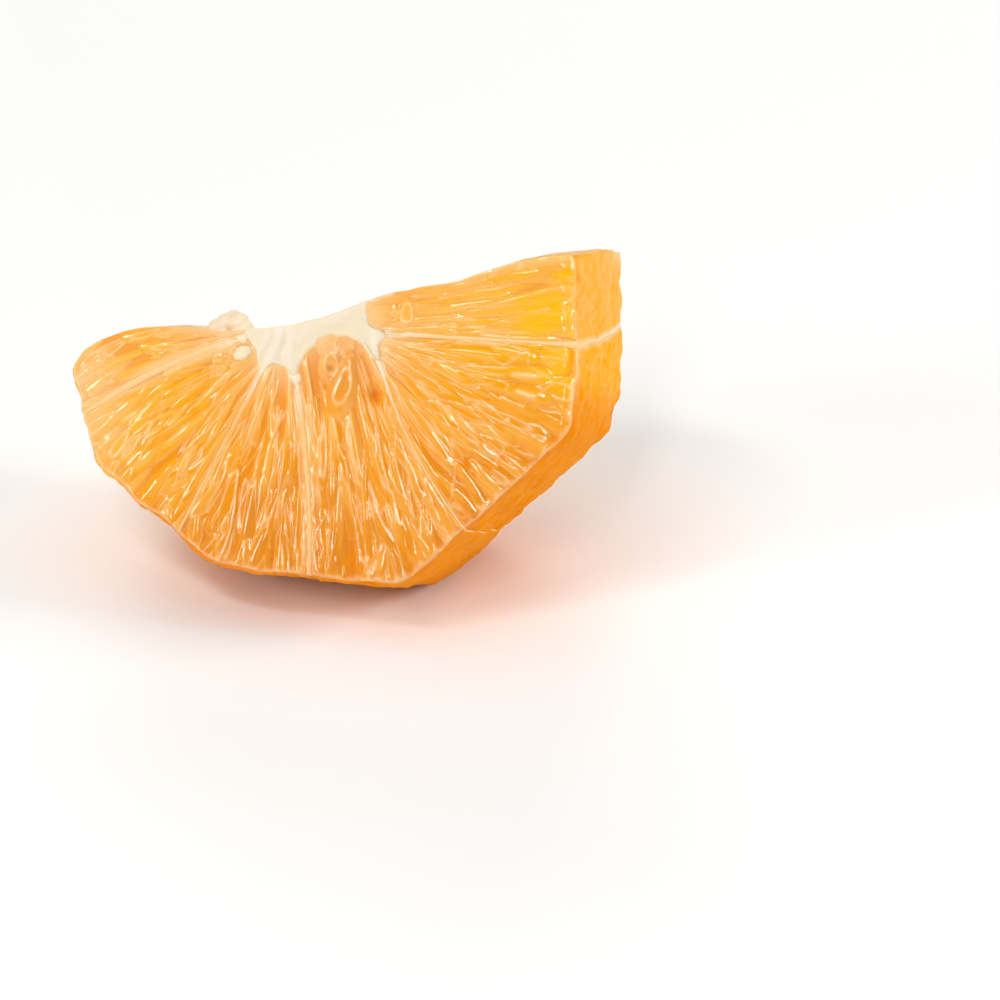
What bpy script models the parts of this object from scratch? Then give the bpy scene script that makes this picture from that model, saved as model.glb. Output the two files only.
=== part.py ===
"""A piece of peeled orange: a knife-peeled orange halved along its core, then cut across in front of its middle.

Six segments of pulp lie round a white pith core. Five thin membranes run from the core to the outside, between the
segments, and a small seed sits in one of them. The piece rests on its round side, with the cut face towards -Y and
leaning back.

Shapes are drawn in the orange's own axes, in metres: X across the cut face, Y up out of the lengthwise cut, and Z
along the core, towards the cut face. LYING turns them to how the piece lies, standing on Z = 0 with +Z up.
"""

import math

import bmesh
import bpy
from mathutils import Matrix, Vector, noise

MM = 0.001

# The orange that the piece was cut from.
RADIUS = 38.8 * MM  # of the peeled flesh, at its widest
HALF_LENGTH = 35.0 * MM  # along the core, from the widest place to either end
FULLNESS = 3.0  # 2 would make the side an ellipse, and more makes it straighter
FACE_Z = 10.0 * MM  # the cut face, in front of the widest place
BACK_Z = -29.0 * MM  # the trimmed end

# Flats that the peeling knife left: each one's direction round the core, in degrees, and its distance.
FLATS = (
    (349.5, 35.3 * MM),
    (300.0, 35.3 * MM),
    (252.0, 36.0 * MM),
    (215.0, 36.6 * MM),
    (181.0, 36.9 * MM),
)
FLAT_EDGE = 0.5 * MM  # how softly one flat turns into the next
EDGE_ROUND = 0.7 * MM  # how far the rim of the cut face is rubbed back

# The lengthwise cut is level at the core and swells up on each side: place, height and width of each swell.
SWELLS = ((-28.0 * MM, 3.9 * MM, 12.5 * MM), (28.0 * MM, 2.8 * MM, 15.0 * MM))

# The membranes, from left to right: where each leaves the core, its direction in degrees, how far it bows, and how
# its direction turns towards the back, in degrees for each metre.
MEMBRANES = (
    (-11.2 * MM, -0.2 * MM, 192.0, -1.2 * MM, 0.0),
    (-10.4 * MM, -5.2 * MM, 229.7, 0.0 * MM, 0.0),
    (-5.9 * MM, -7.4 * MM, 262.2, 0.8 * MM, 0.0),
    (6.2 * MM, -7.6 * MM, 286.2, -1.2 * MM, 0.0),
    (9.0 * MM, -3.7 * MM, 344.4, 0.0 * MM, 300.0),
)
LAST = len(MEMBRANES)  # the number of the last segment, counted from 0
MEMBRANE = 0.5 * MM  # thickness
BURIED = 1.6 * MM  # how far a membrane reaches into the core
CORE_LEFT = -11.2 * MM  # where the lengthwise cut meets the core's two sides
CORE_RIGHT = 6.2 * MM
# How deep each segment's rounded inner end reaches into the core, from left to right.
ARCHES = (0.0 * MM, 0.4 * MM, 1.7 * MM, 5.4 * MM, 0.6 * MM, 0.3 * MM)
ARCH_FULLNESS = 0.6  # 1 is a sine arch, and less is squarer
GAP = 0.3 * MM  # kept between pieces that touch

# Lumps of pith that stand on the core's left end: centre across, centre up, radius.
LUMPS = (
    (-10.4 * MM, 1.1 * MM, 1.4 * MM),
    (-12.3 * MM, 2.1 * MM, 1.7 * MM),
    (-14.4 * MM, 2.3 * MM, 1.4 * MM),
)
LUMP_BACK = 2.6 * MM  # how far behind the cut face they stand
CORE_RIBS = 0.5 * MM  # height of the folds in the core's cut end
CORE_RIB_PITCH = 3.4 * MM

# A seed that never filled out, half sunk in the second segment.
SEED_AT = (-13.6 * MM, -2.9 * MM)
SEED_SIZE = (2.0 * MM, 1.3 * MM, 1.2 * MM)  # half its length, width and height
SEED_TURN = math.radians(15)

# Relief of the juice sacs: height, length along a sac, and width across it.
FACE_SACS = (0.9 * MM, 8.0 * MM, 2.9 * MM)
SIDE_SACS = (0.35 * MM, 5.0 * MM, 2.6 * MM)
FACE_DOME = 0.5 * MM  # each segment's cut end swells this much between its membranes

# Mesh steps.
STEP_ACROSS = 1.75 * MM
ROWS_OUT = 12
ROWS_BACK = 9

# How the piece lies.
LEAN = math.radians(25.0)  # the cut face leans back from upright
ROLL = math.radians(18.5)  # its right end is up
PRESSED = 2.0 * MM  # how much of the round side is flat on the table
BASE_RIGHT = 11.5 * MM  # the origin, on that flat, from the lowest point of the round side
BASE_FRONT = 3.5 * MM

PULP_COLOUR = (0.95, 0.42, 0.04, 1.0)
PITH_COLOUR = (0.93, 0.86, 0.66, 1.0)
SEED_COLOUR = (0.80, 0.68, 0.42, 1.0)


def clear_scene():
    for obj in list(bpy.data.objects):
        bpy.data.objects.remove(obj)


def material(name, colour, roughness):
    made = bpy.data.materials.new(name)
    made.use_nodes = True
    shader = made.node_tree.nodes["Principled BSDF"]
    shader.inputs["Base Color"].default_value = colour
    shader.inputs["Roughness"].default_value = roughness
    shader.inputs["Metallic"].default_value = 0.0
    return made


# ---- The orange's form ----


def around(angle):
    return Vector((math.cos(angle), math.sin(angle)))


def left_of(direction):
    """The unit vector at a right angle to direction, to its left."""
    return Vector((-direction.y, direction.x)).normalized()


def widest_radius(angle):
    """The flesh's radius in its widest section: a circle with flats, eased where they meet."""
    distances = [RADIUS]
    for direction, distance in FLATS:
        facing = math.cos(angle - math.radians(direction))
        if facing > 0.5:
            distances.append(distance / facing)
    return -FLAT_EDGE * math.log(sum(math.exp(-d / FLAT_EDGE) for d in distances))


def outer_radius(angle, z):
    narrowing = (1 - abs(z / HALF_LENGTH) ** FULLNESS) ** (1 / FULLNESS)
    return widest_radius(angle) * narrowing


def outer_point(angle, z):
    return around(angle) * outer_radius(angle, z)


def top_point(x):
    """The point of the lengthwise cut at x."""
    return Vector((x, sum(height * math.exp(-(((x - at) / width) ** 2)) for at, height, width in SWELLS)))


def top_end(side, z):
    """Where the lengthwise cut reaches the outside, at the left (-1) or the right (1)."""
    end = top_point(side * RADIUS)
    for _ in range(8):
        end = top_point(end.x * outer_radius(math.atan2(end.y, end.x), z) / end.length)
    return end


def membrane_point(index, aside, out, z):
    """A point of a membrane, or of the segment's side that lies aside from it. out is 0 at the core and 1 outside."""
    x, y, degrees, bow, turn = MEMBRANES[index]
    heading = around(math.radians(degrees + turn * (FACE_Z - z)))
    start = Vector((x, y)) + left_of(heading) * aside
    end = outer_point(math.radians(degrees), z)
    for _ in range(6):
        radius = outer_radius(math.atan2(end.y, end.x), z)
        along = start.dot(heading)
        end = start + heading * (math.sqrt(along**2 - start.dot(start) + radius**2) - along)
    return start.lerp(end, out) + left_of(heading) * bow * math.sin(math.pi * max(out, 0.0))


# ---- Segments ----


def side_point(border, inward, out, z):
    """A point of a segment's side. Borders 0 and 6 are the lengthwise cut. inward is 1 for the side where a segment
    starts, going anticlockwise round the core, and -1 where it ends."""
    if border in (0, LAST + 1):
        start, end = (CORE_LEFT - GAP, top_end(-1, z)) if border == 0 else (CORE_RIGHT + GAP, top_end(1, z))
        return top_point(start + (end.x - start) * out)
    return membrane_point(border - 1, inward * (MEMBRANE / 2 + GAP), 0.03 + 0.97 * out, z)


def arch_point(index, share, spread=0.0):
    """A point of a segment's rounded inner end, or spread inwards from it."""
    start = side_point(index, 1, 0.0, FACE_Z)
    end = side_point(index + 1, -1, 0.0, FACE_Z)
    chord = end - start

    def arch(share):
        return start + chord * share + left_of(chord) * ARCHES[index] * math.sin(math.pi * share) ** ARCH_FULLNESS

    before, after = arch(max(share - 0.01, 0.0)), arch(min(share + 0.01, 0.9999))
    return arch(min(share, 0.9999)) + left_of(after - before) * spread


def section_point(index, share, out, z):
    """A point of a segment's section. share runs round the core, and out runs from the core outwards."""
    left = [side_point(index, 1, part, z) for part in (0.0, out, 1.0)]
    right = [side_point(index + 1, -1, part, z) for part in (0.0, out, 1.0)]
    angles = [math.atan2(end.y, end.x) % math.tau for end in (left[2], right[2])]
    angles[1] += math.tau if angles[1] < angles[0] else 0.0
    outer = outer_point(angles[0] + (angles[1] - angles[0]) * share, z)
    inner = arch_point(index, share)
    inner += (left[0] - arch_point(index, 0.0)) * (1 - share) + (right[0] - arch_point(index, 1.0)) * share
    point = inner.lerp(outer, out)
    point += (left[1] - left[0].lerp(left[2], out)) * (1 - share)
    point += (right[1] - right[0].lerp(right[2], out)) * share
    return point


def sac_relief(sacs, along, across, seed):
    """Uneven ridges, long along the sacs."""
    height, length, width = sacs
    coarse = noise.noise(Vector((along / length, across / width, seed)))
    fine = noise.noise(Vector((2 * along / length, 2 * across / width, seed + 0.5)))
    return height * (coarse + 0.5 * fine)


def box_mesh(counts, place):
    """A closed box, divided counts times along each side, whose corners go where place puts them. place keeps the
    box's handedness, so that its faces stay outwards."""
    mesh = bmesh.new()
    bmesh.ops.create_cube(mesh, size=1.0, matrix=Matrix.Translation((0.5, 0.5, 0.5)))
    for axis, count in enumerate(counts):
        whole = [e for e in mesh.edges if abs(e.verts[0].co[axis] - e.verts[1].co[axis]) > 0.9]
        if count > 1:
            bmesh.ops.subdivide_edges(mesh, edges=whole, cuts=count - 1, use_grid_fill=True)
    back = [face for face in mesh.faces if min(vertex.co.z for vertex in face.verts) > 0.999]
    bmesh.ops.dissolve_faces(mesh, faces=back)
    for vertex in mesh.verts:
        vertex.co = place(*(round(share, 5) for share in vertex.co))
    return mesh


def make_object(name, mesh, surface, collection=None):
    """Lays the mesh down as the piece lies, pressed flat where it meets the table."""
    for vertex in mesh.verts:
        vertex.co = LYING @ vertex.co
        vertex.co.z = max(vertex.co.z, 0.0)
    data = bpy.data.meshes.new(name)
    mesh.to_mesh(data)
    mesh.free()
    data.shade_smooth()
    data.set_sharp_from_angle(angle=math.radians(40))
    data.materials.append(surface)
    obj = bpy.data.objects.new(name, data)
    (collection or bpy.context.scene.collection).objects.link(obj)
    return obj


def columns(index):
    left, right = (section_point(index, share, 1.0, FACE_Z) for share in (0.0, 1.0))
    return max(4, round((right - left).length / STEP_ACROSS))


def segment(index, surface):
    """One segment of pulp, from the cut face back to the trimmed end."""
    left, right, core = (section_point(index, *at, FACE_Z) for at in ((0.0, 1.0), (1.0, 1.0), (0.0, 0.0)))
    width = (right - left).length
    length = (left - core).length

    def place(share, out, back):
        z = FACE_Z + (BACK_Z - FACE_Z) * back
        point = section_point(index, share, out, z)
        inside = 0.0 < share < 1.0
        on_top = share == 0.0 and index == 0 or share == 1.0 and index == LAST
        if back == 0.0 and 0.0 < out < 1.0 and inside:
            z += sac_relief(FACE_SACS, out * length, share * width, index)
            z += FACE_DOME * math.sin(math.pi * share)
        elif back == 0.0 and out == 1.0:
            z -= EDGE_ROUND
        elif out == 1.0 and back < 1.0 and inside:
            point += point.normalized() * sac_relief(SIDE_SACS, share * width, z, index + 20)
        elif on_top and 0.0 < out < 1.0 and 0.0 < back < 1.0:
            point.y += sac_relief(SIDE_SACS, point.x, z, index + 40)
        return Vector((point.x, point.y, z))

    return make_object(f"segment_{index + 1}", box_mesh((columns(index), ROWS_OUT, ROWS_BACK), place), surface)


# ---- Seed ----


def seed_mesh(spread):
    """The seed, pointed at its right end, and larger all round by spread."""
    mesh = bmesh.new()
    bmesh.ops.create_uvsphere(mesh, u_segments=16, v_segments=10, radius=1.0)
    half_length, half_width, half_height = (half + spread for half in SEED_SIZE)
    turn = Matrix.Rotation(SEED_TURN, 4, "Z")
    for vertex in mesh.verts:
        along, across, up = vertex.co.z, vertex.co.x, vertex.co.y
        narrow = 1 - 0.35 * max(along, 0.0)
        at = turn @ Vector((along * half_length, across * half_width * narrow, up * half_height * narrow))
        vertex.co = at + Vector((*SEED_AT, FACE_Z + FACE_DOME))
    return mesh


def sink_seed(flesh, surface):
    """Cuts the seed's bed out of the flesh, and lays the seed in it."""
    bed = make_object("seed_bed", seed_mesh(GAP), surface)
    cut_in(flesh, "DIFFERENCE", bed)
    return make_object("seed", seed_mesh(0.0), surface)


# ---- Pith ----


def core_mesh():
    """The white core, from the cut face to the trimmed end, with folds across its cut end."""
    counts = [columns(index) for index in (2, 3, 4)]
    bounds = [sum(counts[:number]) / sum(counts) for number in range(4)]

    def low_edge(across):
        number = min(sum(across > bound for bound in bounds[1:]), 2)
        share = (across - bounds[number]) / (bounds[number + 1] - bounds[number])
        return arch_point(number + 2, share, GAP)

    def high_edge(across):
        if across < bounds[2]:
            left, right = low_edge(0.0).x, arch_point(LAST, 1.0, GAP).x
            return top_point(left + (right - left) * across / bounds[2])
        share = (across - bounds[2]) / (1 - bounds[2])
        return arch_point(LAST, 1 - share, GAP)

    def place(across, down, back):
        point = high_edge(across).lerp(low_edge(across), down)
        z = FACE_Z + (BACK_Z - FACE_Z) * back
        if back == 0.0 and 0.0 < down < 1.0 and 0.0 < across < 1.0:
            z += CORE_RIBS * (1 + math.sin(math.tau * (point.x - 0.5 * point.y) / CORE_RIB_PITCH))
        return Vector((point.x, point.y, z))

    return box_mesh((sum(counts), 5, 3), place)


def membrane_mesh(index):
    """A membrane, from inside the core to the outside."""
    buried = BURIED / RADIUS

    def place(thick, out, back):
        z = FACE_Z + (BACK_Z - FACE_Z) * back
        point = membrane_point(index, MEMBRANE * (thick - 0.5), out * (1 + buried) - buried, z)
        if out == 1.0 and back == 0.0:
            z -= EDGE_ROUND
        return Vector((point.x, point.y, z))

    return box_mesh((1, ROWS_OUT, ROWS_BACK), place)


def lump_mesh(x, y, radius, spread):
    """A ball of pith, uneven like a curd, and larger all round by spread."""
    mesh = bmesh.new()
    bmesh.ops.create_icosphere(mesh, subdivisions=2, radius=1.0)
    for vertex in mesh.verts:
        uneven = 1 + 0.12 * noise.noise(vertex.co * 1.7 + Vector((x, y, 0)) / MM)
        vertex.co = Vector((x, y, FACE_Z - LUMP_BACK)) + vertex.co * (radius * uneven + spread)
    return mesh


def lumps(surface, spread):
    return [make_object("lump", lump_mesh(*lump, spread), surface) for lump in LUMPS]


def cut_in(obj, operation, *others):
    """Joins the others to the object, or cuts them out of it, then removes them."""
    group = bpy.data.collections.new("others")
    bpy.context.scene.collection.children.link(group)
    for other in others:
        bpy.context.scene.collection.objects.unlink(other)
        group.objects.link(other)
    boolean = obj.modifiers.new("cut", "BOOLEAN")
    boolean.operation = operation
    boolean.operand_type = "COLLECTION"
    boolean.collection = group
    boolean.solver = "EXACT"
    graph = bpy.context.evaluated_depsgraph_get()
    whole = bpy.data.meshes.new_from_object(obj.evaluated_get(graph))
    obj.modifiers.clear()
    obj.data = whole
    for other in others:
        bpy.data.objects.remove(other)
    bpy.data.collections.remove(group)


def pith(surface):
    """The core, its membranes and its lumps, joined into one solid."""
    core = make_object("pith", core_mesh(), surface)
    membranes = [make_object("membrane", membrane_mesh(index), surface) for index in range(LAST)]
    cut_in(core, "UNION", *membranes, *lumps(surface, 0.0))


# ---- How it lies ----


def lying():
    """Turns the orange's own axes to how the piece lies, and puts the origin on the flat that it rests on."""
    turn = Matrix.Rotation(math.pi / 2 - LEAN, 4, "X") @ Matrix.Rotation(ROLL, 4, "Z")
    side = []
    for degrees in range(180, 360):
        for step in range(80):
            z = BACK_Z + (FACE_Z - BACK_Z) * step / 79
            side.append(turn @ outer_point(math.radians(degrees), z).to_3d() + turn @ Vector((0, 0, z)))
    lowest = min(side, key=lambda point: point.z)
    base = lowest + Vector((BASE_RIGHT, -BASE_FRONT, PRESSED))
    return Matrix.Translation(-base) @ turn


LYING = lying()


def main():
    clear_scene()
    pulp_surface = material("pulp", PULP_COLOUR, 0.25)
    pith_surface = material("pith", PITH_COLOUR, 0.55)
    seed_surface = material("seed", SEED_COLOUR, 0.35)
    segments = [segment(index, pulp_surface) for index in range(LAST + 1)]
    cut_in(segments[0], "DIFFERENCE", *lumps(pith_surface, GAP))
    sink_seed(segments[1], seed_surface)
    pith(pith_surface)


main()
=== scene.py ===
"""The looks of a piece of peeled orange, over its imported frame."""

import math

import bmesh
import bpy
import numpy as np
from mathutils import Matrix, Vector


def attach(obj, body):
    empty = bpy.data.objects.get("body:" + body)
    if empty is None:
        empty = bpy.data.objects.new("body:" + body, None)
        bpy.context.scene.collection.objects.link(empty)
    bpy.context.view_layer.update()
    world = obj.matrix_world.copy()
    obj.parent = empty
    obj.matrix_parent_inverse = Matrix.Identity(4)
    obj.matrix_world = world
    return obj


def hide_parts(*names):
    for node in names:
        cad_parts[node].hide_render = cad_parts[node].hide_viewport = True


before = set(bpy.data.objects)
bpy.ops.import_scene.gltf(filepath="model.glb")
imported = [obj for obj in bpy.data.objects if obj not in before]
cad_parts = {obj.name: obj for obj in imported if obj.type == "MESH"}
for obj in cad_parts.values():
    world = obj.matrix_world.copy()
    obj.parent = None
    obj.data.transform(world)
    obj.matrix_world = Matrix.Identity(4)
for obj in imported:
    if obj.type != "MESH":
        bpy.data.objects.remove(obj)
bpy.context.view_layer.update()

# ---- Pulp of the six segments ----
# Each segment is a bundle of juice sacs, thin skins full of juice that point at the core. A knife has peeled
# the outside in flats and cut through the sacs in front, on top and behind, so some are whole and some open.

# Shapes are worked out in the orange's own axes, in millimetres: X across the cut face, Y up out of the
# lengthwise cut, and Z along the core towards the cut face. LYING then lays them down in the frame.
MM = 0.001
# The round of the orange: half its width, half its length, and how square its shoulders are.
WIDEST = 38.8
HALF_LENGTH = 35.0
FULLNESS = 3.0
# The two cuts across it.
FACE_Z = 10.0
BACK_Z = -29.0
# Each flat that the knife left: the way it faces, in degrees, and how far it is from the axis.
KNIFE_FLATS = ((349.5, 35.3), (300.0, 35.3), (252.0, 36.0), (215.0, 36.6), (181.0, 36.9))
# The swells of the lengthwise cut: where, how tall and how broad.
SWELLS = ((-27.0, 4.7, 12.0), (28.0, 2.8, 15.0))
CORE_LEFT, CORE_RIGHT = -11.2, 6.2
# Where each membrane leaves the core, its direction in degrees, its bow, and its turn in degrees per
# millimetre of depth.
MEMBRANES = (
    (-11.2, -0.2, 192.0, -1.2, 0.0),
    (-10.4, -5.2, 229.7, 0.0, 0.0),
    (-5.9, -7.4, 262.2, 0.8, 0.0),
    (6.2, -7.6, 286.2, -1.2, 0.0),
    (7.9, -3.8, 344.3, 0.0, 0.3),
)
# How far the core's edge arches into each segment.
ARCHES = (0.0, 0.4, 1.7, 5.4, 0.6, 1.4)
# Usual sizes: from core to outside, the length of that filled with sacs, the outer radius, and the radius at
# which the outside is charted flat.
CORE_TO_RIM = 29.0
PULP_LENGTH = 28.0
USUAL_RADIUS = 37.0
CHART_RADIUS = 36.0
# How far the core is tipped from upright towards the camera, and how far the right end is rolled up, both in
# degrees, and where the middle of the orange comes to lie, in metres.
TIPPED, ROLLED_UP = 65.0, 18.5
MIDDLE = (-0.00358219, -0.00213367, 0.03701652)
TURNED = Matrix.Rotation(math.radians(TIPPED), 4, "X") @ Matrix.Rotation(math.radians(ROLLED_UP), 4, "Z")
LYING = Matrix.Translation(MIDDLE) @ TURNED


def ease(low, high, value):
    """Goes softly from 0 to 1 as the value goes from low to high."""
    step = np.clip((value - low) / (high - low), 0, 1)
    return step * step * (3 - 2 * step)


def ease_round(low, high, angle):
    """The same, from one angle in degrees to another."""
    return ease(math.radians(low), math.radians(high), angle)


def bell(value, width):
    """Is 1 where the value is 0, and fades away on both sides of it."""
    return np.exp(-((value / width) ** 2))


def ripples(at, size, seed):
    """Soft unevenness of about one millimetre either way, with waves of the given size."""
    waves = np.random.default_rng(seed).normal(0, 1, (14, at.shape[1] + 1))
    waves[:, :-1] *= math.tau / size / np.linalg.norm(waves[:, :-1], axis=1)[:, None]
    return np.sin(at @ waves[:, :-1].T + waves[:, -1] * 3).sum(1) / math.sqrt(14)


def pointing(angle):
    """The way each angle points, as x and y."""
    return np.stack([np.cos(angle), np.sin(angle)], 1)


def depth_at(slice_):
    """How deep each slice lies along the core, closer together near the two cuts."""
    return FACE_Z + (BACK_Z - FACE_Z) * (slice_ - 0.35 * np.sin(math.tau * slice_) / math.tau)


def widest_radius(angle):
    """The circle with the knife's flats, eased where they meet."""
    softness = 0.5
    terms = [np.full_like(angle, WIDEST)]
    for direction, distance in KNIFE_FLATS:
        facing = np.cos(angle - math.radians(direction))
        terms.append(np.where(facing > 0.5, distance / np.maximum(facing, 0.5), 100.0))
    return -softness * np.log(sum(np.exp(-term / softness) for term in terms))


def outer_radius(angle, z):
    """The peeled outside: the flats, a little fuller at both ends of the cut face, and never quite even."""
    turned = (angle - 1.2) % math.tau + 1.2
    right = ease_round(325, 338, turned) * (0.8 + 0.8 * ease(FACE_Z, FACE_Z - 7, z))
    left = ease_round(222, 208, turned) * 0.9
    uneven = 0.16 * ripples(np.c_[pointing(angle) * USUAL_RADIUS, z], 6.0, 3)
    fuller = (right + left) * ease(BACK_Z, BACK_Z + 9, z) + uneven
    narrower = (1 - np.abs(z / HALF_LENGTH) ** FULLNESS) ** (1 / FULLNESS)
    return widest_radius(angle) * narrower + fuller


def top_height(x, z):
    """The lengthwise cut, which dips a little at the cut face."""
    height = sum(height * bell(x - at, width) for at, height, width in SWELLS)
    dip = (1.15 - 1.2 * ease(FACE_Z, FACE_Z - 14, z)) * ease(13, 20, x)
    dip += 0.5 * bell(x + 22, 8) * ease(FACE_Z - 14, FACE_Z, z)
    dip += 0.9 * bell(x + 11.5, 4.5) * ease(FACE_Z - 2, FACE_Z - 12, z)
    return height - dip + 0.8 * bell(x - 8, 4)


def top_end(side, z):
    """Where the lengthwise cut meets the outside, as x and y."""
    x = np.full_like(z, side * WIDEST)
    y = top_height(x, z)
    for _ in range(8):
        x = x * outer_radius(np.arctan2(y, x), z) / np.hypot(x, y)
        y = top_height(x, z)
    return x, y


def membrane_end(index, z):
    """Where a membrane meets the outside, as x and y."""
    x, y, degrees, _, turn = MEMBRANES[index]
    angle = np.radians(degrees + turn * (FACE_Z - z))
    cos, sin = np.cos(angle), np.sin(angle)
    end_x, end_y = outer_radius(angle, z) * cos, outer_radius(angle, z) * sin
    for _ in range(6):
        radius = outer_radius(np.arctan2(end_y, end_x), z)
        along = x * cos + y * sin
        reach = np.sqrt(along**2 - x * x - y * y + radius**2) - along
        end_x, end_y = x + reach * cos, y + reach * sin
    return end_x, end_y


def border_ends(z):
    """The outer angle of each of the seven lines that bound the six segments."""
    levels, level = np.unique(z, return_inverse=True)
    ends = [top_end(-1, levels), *(membrane_end(index, levels) for index in range(5)), top_end(1, levels)]
    angles = np.array([np.arctan2(y, x) % math.tau for x, y in ends])
    return np.unwrap(angles, axis=0)[:, level]


# Where the seven lines leave the core, how far they bow, and half the thickness of the skin along each.
ROOTS = np.array([(CORE_LEFT, 0.85), *(line[:2] for line in MEMBRANES), (CORE_RIGHT, 1.1)])
BOWS = np.array([0.0, *(line[3] for line in MEMBRANES), 0.0])
HALF_SKINS = np.array([0.0, 0.16, 0.08, 0.24, 0.07, 0.13, 0.0])


def inner_edge(segment, share):
    """The arched edge of the core along each segment."""
    start, end = ROOTS[segment], ROOTS[segment + 1]
    chord = end - start
    left = np.array([-chord[1], chord[0]]) / np.hypot(*chord)
    rise = ARCHES[segment] * np.maximum(np.sin(np.pi * share), 0) ** 0.6
    return start + chord * share[:, None] + left * rise[:, None]


def segment_point(segment, share, out, z):
    """Points of a segment: share runs across it from 0 to 1, and out from the core to the outside."""
    inner = inner_edge(segment, share)
    angles = border_ends(z)
    angle = angles[segment] * (1 - share) + angles[segment + 1] * share
    outer = pointing(angle) * outer_radius(angle, z)[:, None]
    line = outer - inner
    left = np.stack([-line[:, 1], line[:, 0]], 1) / np.linalg.norm(line, axis=1)[:, None]
    bow = BOWS[segment] * (1 - share) + BOWS[segment + 1] * share
    skins = HALF_SKINS[segment] * (1 - share) - HALF_SKINS[segment + 1] * share
    point = inner + line * out[:, None] + left * (bow * np.sin(np.pi * out) + skins)[:, None]
    if segment in (0, 5):
        end_x, end_y = top_end(-1 if segment == 0 else 1, z)
        start_y = ROOTS[0 if segment == 0 else 6][1]
        straight = start_y + (end_y - start_y) * out
        near = 1 - share if segment == 0 else share
        point[:, 1] += (top_height(point[:, 0], z) - straight) * near
    return point, angle


def cut_box(columns, rows, slices, front_columns, shows):
    """A closed box in unit coordinates. Its front has front_columns times the columns of its back. Its
    outside, and the sides that show, are cut into slices, and a hidden side into strips."""
    box = bmesh.new()
    bmesh.ops.create_cube(box, size=1.0, matrix=Matrix.Translation((0.5, 0.5, 0.5)))

    def divide(axis, cuts, keep):
        edges = [
            edge
            for edge in box.edges
            if abs(edge.verts[0].co[axis] - edge.verts[1].co[axis]) > 1e-6
            and keep((edge.verts[0].co + edge.verts[1].co) / 2)
        ]
        bmesh.ops.subdivide_edges(box, edges=edges, cuts=cuts, use_grid_fill=True)

    divide(0, columns - 1, lambda middle: True)
    divide(1, rows - 1, lambda middle: True)
    divide(2, slices - 1, lambda middle: middle.y > 0.9999 or (middle.y > 0.0 and middle.x in shows))
    divide(0, front_columns - 1, lambda middle: middle.z == 0.0 and middle.y > 0.0)
    return box


def grid_of(box, name, counts):
    """The box as a mesh, and its points in unit coordinates, each put back on the grid of counts."""
    mesh = bpy.data.meshes.new(name)
    box.to_mesh(mesh)
    box.free()
    points = np.empty(len(mesh.vertices) * 3, np.float32)
    mesh.vertices.foreach_get("co", points)
    return mesh, np.round(points.reshape(-1, 3).astype(float) * counts) / counts


def lay_down(mesh, points):
    """Puts points, in the orange's own millimetres, into the mesh where the piece lies on the table."""
    laid = np.c_[points * MM, np.ones(len(points))] @ np.array(LYING).T
    laid[:, 2] = np.maximum(laid[:, 2], 0.0)
    mesh.vertices.foreach_set("co", laid[:, :3].astype(np.float32).ravel())
    mesh.update()
    mesh.shade_smooth()


def put_in_scene(name, mesh, material):
    """Makes a piece of the mesh, with its material, at the origin."""
    mesh.materials.append(material)
    piece = bpy.data.objects.new(name, mesh)
    bpy.context.collection.objects.link(piece)
    return piece


def keep_values(mesh, name, values):
    """Keeps one number, or three, for each point of the mesh, for its material to read."""
    kind, field = ("FLOAT_VECTOR", "vector") if values.ndim == 2 else ("FLOAT", "value")
    layer = mesh.attributes.new(name, kind, "POINT")
    layer.data.foreach_set(field, values.astype(np.float32).ravel())


def lay_sacs(at, sacs, floor):
    """Lays sacs on a surface, where the higher one shows. A sac has its two ends, half its width, its swell,
    the height it lies at, the rise of its outer end, the share of its swell that the knife left (1 if it is
    whole), its bend, its tint, and how blunt its ends are. It gives heights and values for the material."""
    claim = np.full(len(at), floor)
    height = claim.copy()
    below = claim - 9.0
    wall, lined, tint = np.zeros((3, len(at)))
    flow = np.zeros((len(at), 3))
    for number, (start, end, width, swell, lie, rise, left, bend, shade, blunt) in enumerate(sacs):
        length = np.hypot(*(end - start))
        line = (end - start) / length
        offset = at - start
        part = offset @ line / length
        across = offset @ (-line[1], line[0])
        near = np.flatnonzero((np.abs(part - 0.5) < 0.65) & (np.abs(across) < 1.5 * width + abs(bend)))
        part, across = part[near], across[near]
        side = (across - bend * np.sin(np.pi * part)) / (width * (0.65 + 0.5 * part))
        over = swell * (1 - side**2 - np.abs(2 * part - 1) ** blunt - left)
        waves = 0.12 * swell * np.sin(part * length * 1.5 + number)
        mine = lie + rise * (part - 0.5) + swell * left + np.minimum(over, 0) + waves
        wins = mine > claim[near]
        lost = near[~wins]
        below[lost] = np.maximum(below[lost], mine[~wins])
        near, part, side, over, mine = near[wins], part[wins], side[wins], over[wins], mine[wins]
        below[near] = claim[near]
        claim[near] = mine
        cut = ease(0.0, 0.3 * swell, over)
        height[near] = mine - cut * min(0.08, swell * 0.25)
        skin = min(0.22, 0.2 / width) * swell
        wall[near] = (left < 1 and shade > -0.3) * bell(over, skin)
        lined[near] = (number * 0.618) % 1 < 0.35
        # Each sac is painted paler on one side and more amber on the other, as light shining through it would
        # show; the side turns from sac to sac.
        light_across = 0.2 * side * (-1) ** number
        border = side**2 + np.abs(2 * part - 1) ** blunt
        # An opened sac is amber with juice in its middle; a whole one is painted with shade towards its
        # borders.
        juice_and_edge_shade = 0.3 * side**2 - 0.2 if left < 1 else 0.15 - 1.2 * ease(0.2, 0.85, border)
        tint[near] = shade + light_across + juice_and_edge_shade
        flow[near] = np.stack([part * length, side * width, np.full(len(near), number * 3.7)], 1)
    gap = claim - below
    wall = np.maximum(wall, lined * np.exp(-gap / 0.04))
    height += 0.05 * lined * np.exp(-gap / 0.04)
    # The crease value is painted shade, strongest where a sac meets the one beneath it.
    return height, {"wall": wall, "crease_shade": np.exp(-gap / 0.16), "tint": tint, "flow": flow}


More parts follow.
